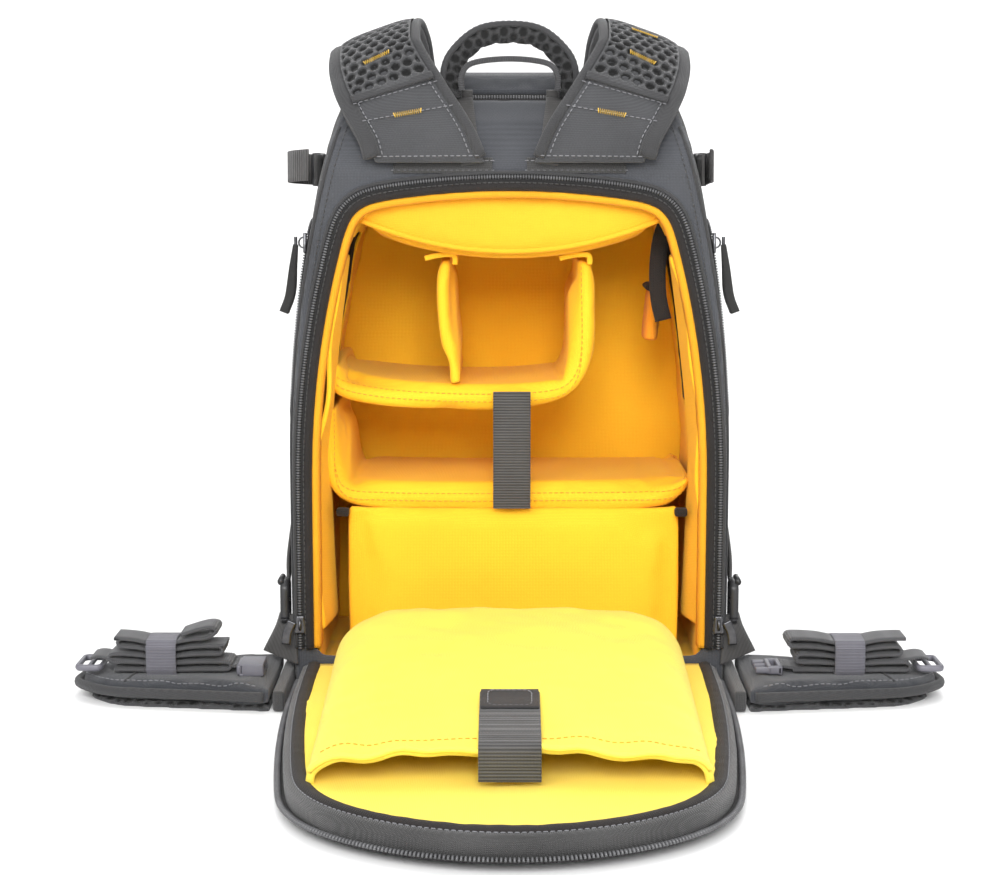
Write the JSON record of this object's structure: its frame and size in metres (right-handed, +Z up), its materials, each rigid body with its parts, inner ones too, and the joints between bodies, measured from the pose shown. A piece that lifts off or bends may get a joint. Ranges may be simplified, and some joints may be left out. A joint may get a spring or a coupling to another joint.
{
  "type": "camera backpack",
  "caption": "Padded camera backpack with a zip-round harness panel that folds down, divider insert, laptop sleeve, side doors, shoulder straps and hip belt.",
  "frame": {"origin": "centre of the base, on the ground under the bag", "axes": "+Z up, -Y towards the wearer's side where the harness panel opens, +X to the right as seen from there"},
  "size_m": [0.6734, 0.6573, 0.521],
  "materials": {
    "grey_fabric": "matte",
    "yellow_lining": "matte",
    "pale_yellow_lining": "matte",
    "orange_pocket": "matte",
    "dark_binding": "matte",
    "zip_tape": "satin",
    "webbing": "matte",
    "black_label": "matte",
    "air_mesh": "matte",
    "grey_plastic": "satin",
    "black_plastic": "satin",
    "zip_metal": "satin",
    "pull_cord": "matte"
  },
  "bodies": {
    "root": {"shell": "grey_fabric", "outer_zips": "zip_tape", "base_panel": "dark_binding", "base_board": "black_plastic", "main_zip_body_side": "zip_tape", "opening_binding": "dark_binding", "lining": "yellow_lining", "top_compartment_floor": "yellow_lining", "lens_shelf": "yellow_lining", "lens_dividers": "yellow_lining", "camera_shelf": "yellow_lining", "lens_strap": "webbing", "divider_fasteners": "dark_binding", "ceiling_pad": "yellow_lining", "lining_wings": "yellow_lining", "card_pocket": "orange_pocket", "harness_patches": "grey_fabric", "lower_webbing": "webbing", "ladder_locks": "grey_plastic", "wing_roots": "grey_fabric", "front_pocket": "grey_fabric", "side_straps": "webbing", "side_buckle_sockets": "black_plastic"},
    "top_cover": {"top_cover": "grey_fabric"},
    "harness_panel": {"panel_board": "dark_binding", "panel_rim": "grey_fabric", "main_zip_panel_side": "zip_tape", "panel_lining": "pale_yellow_lining", "back_pads": "air_mesh", "laptop_sleeve": "pale_yellow_lining", "laptop_strap": "webbing", "strap_label": "black_label"},
    "laptop_strap_tab": {"laptop_strap_tab": "webbing"},
    "carry_handle": {"carry_handle": "grey_fabric"},
    "haul_loop": {"haul_loop": "webbing"},
    "pocket_slider": {"pocket_slider": "zip_metal"},
    "side_door_left": {"side_door_left": "grey_fabric"},
    "main_slider_left": {"main_slider_left": "zip_metal"},
    "main_pull_left": {"main_pull_left": "pull_cord"},
    "side_slider_left": {"side_slider_left": "zip_metal"},
    "side_pull_left": {"side_pull_left": "pull_cord"},
    "top_slider_left": {"top_slider_left": "zip_metal"},
    "shoulder_strap_left": {"shoulder_strap_left": "grey_fabric"},
    "side_buckle_clip_left": {"side_buckle_clip_left": "black_plastic"},
    "hip_wing_left": {"hip_wing_left": "grey_fabric", "hip_mesh_left": "air_mesh", "belt_webbing_left": "webbing", "belt_hardware_left": "grey_plastic"},
    "side_door_right": {"side_door_right": "grey_fabric"},
    "main_slider_right": {"main_slider_right": "zip_metal"},
    "main_pull_right": {"main_pull_right": "pull_cord"},
    "side_slider_right": {"side_slider_right": "zip_metal"},
    "side_pull_right": {"side_pull_right": "pull_cord"},
    "top_slider_right": {"top_slider_right": "zip_metal"},
    "shoulder_strap_right": {"shoulder_strap_right": "grey_fabric"},
    "side_buckle_clip_right": {"side_buckle_clip_right": "black_plastic"},
    "hip_wing_right": {"hip_wing_right": "grey_fabric", "hip_mesh_right": "air_mesh", "belt_webbing_right": "webbing", "belt_hardware_right": "grey_plastic"}
  },
  "joints": [
    {"name": "panel_fold", "type": "hinge", "parent": "root", "child": "harness_panel", "pos_m": [0, -0.118, 0.032], "axis": [-1, 0, 0], "range_deg": [0, 88]},
    {"name": "laptop_tab_fold", "type": "hinge", "parent": "harness_panel", "child": "laptop_strap_tab", "pos_m": [0, -0.4114, 0.0535], "axis": [-1, 0, 0], "range_deg": [0, 250]},
    {"name": "top_cover_fold", "type": "hinge", "parent": "root", "child": "top_cover", "pos_m": [0, 0.081, 0.4662], "axis": [-1, 0, 0], "range_deg": [0, 8]},
    {"name": "carry_handle_tilt", "type": "hinge", "parent": "root", "child": "carry_handle", "pos_m": [0, -0.0727, 0.467], "axis": [1, 0, 0], "range_deg": [0, 10]},
    {"name": "haul_loop_tilt", "type": "hinge", "parent": "root", "child": "haul_loop", "pos_m": [0, -0.087, 0.468], "axis": [1, 0, 0], "range_deg": [0, 60]},
    {"name": "pocket_zip_travel", "type": "slide", "parent": "root", "child": "pocket_slider", "axis": [-1, 0, 0], "range_m": [0, 0.13]},
    {"name": "main_zip_travel_left", "type": "slide", "parent": "root", "child": "main_slider_left", "axis": [0, 0, 1], "range_m": [0, 0.15]},
    {"name": "main_pull_swing_left", "type": "hinge", "parent": "main_slider_left", "child": "main_pull_left", "pos_m": [-0.173, -0.1154, 0.06], "axis": [-1, 0, 0], "range_deg": [0, 110]},
    {"name": "side_zip_travel_left", "type": "slide", "parent": "root", "child": "side_slider_left", "axis": [-0.1506, 0, -0.9886], "range_m": [0, 0.1]},
    {"name": "side_pull_swing_left", "type": "hinge", "parent": "side_slider_left", "child": "side_pull_left", "pos_m": [-0.1629, -0.0905, 0.345], "axis": [0, 1, 0], "range_deg": [0, 90]},
    {"name": "side_door_fold_left", "type": "hinge", "parent": "root", "child": "side_door_left", "pos_m": [-0.1661, 0.0405, 0.2905], "axis": [-0.11, 0, -0.9939], "range_deg": [0, 100]},
    {"name": "top_zip_travel_left", "type": "slide", "parent": "root", "child": "top_slider_left", "axis": [0, -1, 0], "range_m": [0, 0.06]},
    {"name": "shoulder_strap_swing_left", "type": "hinge", "parent": "root", "child": "shoulder_strap_left", "pos_m": [-0.054, -0.118, 0.414], "axis": [1, 0, 0], "range_deg": [0, 20]},
    {"name": "hip_wing_fold_left", "type": "hinge", "parent": "root", "child": "hip_wing_left", "pos_m": [-0.18, -0.116, 0.022], "axis": [0, 1, 0], "range_deg": [0, 55]},
    {"name": "side_clip_release_left", "type": "slide", "parent": "root", "child": "side_buckle_clip_left", "axis": [0, 1, 0], "range_m": [0, 0.03]},
    {"name": "main_zip_travel_right", "type": "slide", "parent": "root", "child": "main_slider_right", "axis": [0, 0, 1], "range_m": [0, 0.15]},
    {"name": "main_pull_swing_right", "type": "hinge", "parent": "main_slider_right", "child": "main_pull_right", "pos_m": [0.173, -0.1154, 0.06], "axis": [-1, 0, 0], "range_deg": [0, 110]},
    {"name": "side_zip_travel_right", "type": "slide", "parent": "root", "child": "side_slider_right", "axis": [0.1506, 0, -0.9886], "range_m": [0, 0.1]},
    {"name": "side_pull_swing_right", "type": "hinge", "parent": "side_slider_right", "child": "side_pull_right", "pos_m": [0.1629, -0.0905, 0.345], "axis": [0, -1, 0], "range_deg": [0, 90]},
    {"name": "side_door_fold_right", "type": "hinge", "parent": "root", "child": "side_door_right", "pos_m": [0.1661, 0.0405, 0.2905], "axis": [-0.11, 0, 0.9939], "range_deg": [0, 100]},
    {"name": "top_zip_travel_right", "type": "slide", "parent": "root", "child": "top_slider_right", "axis": [0, -1, 0], "range_m": [0, 0.06]},
    {"name": "shoulder_strap_swing_right", "type": "hinge", "parent": "root", "child": "shoulder_strap_right", "pos_m": [0.054, -0.118, 0.414], "axis": [1, 0, 0], "range_deg": [0, 20]},
    {"name": "hip_wing_fold_right", "type": "hinge", "parent": "root", "child": "hip_wing_right", "pos_m": [0.18, -0.116, 0.022], "axis": [0, -1, 0], "range_deg": [0, 55]},
    {"name": "side_clip_release_right", "type": "slide", "parent": "root", "child": "side_buckle_clip_right", "axis": [0, 1, 0], "range_m": [0, 0.03]}
  ]
}
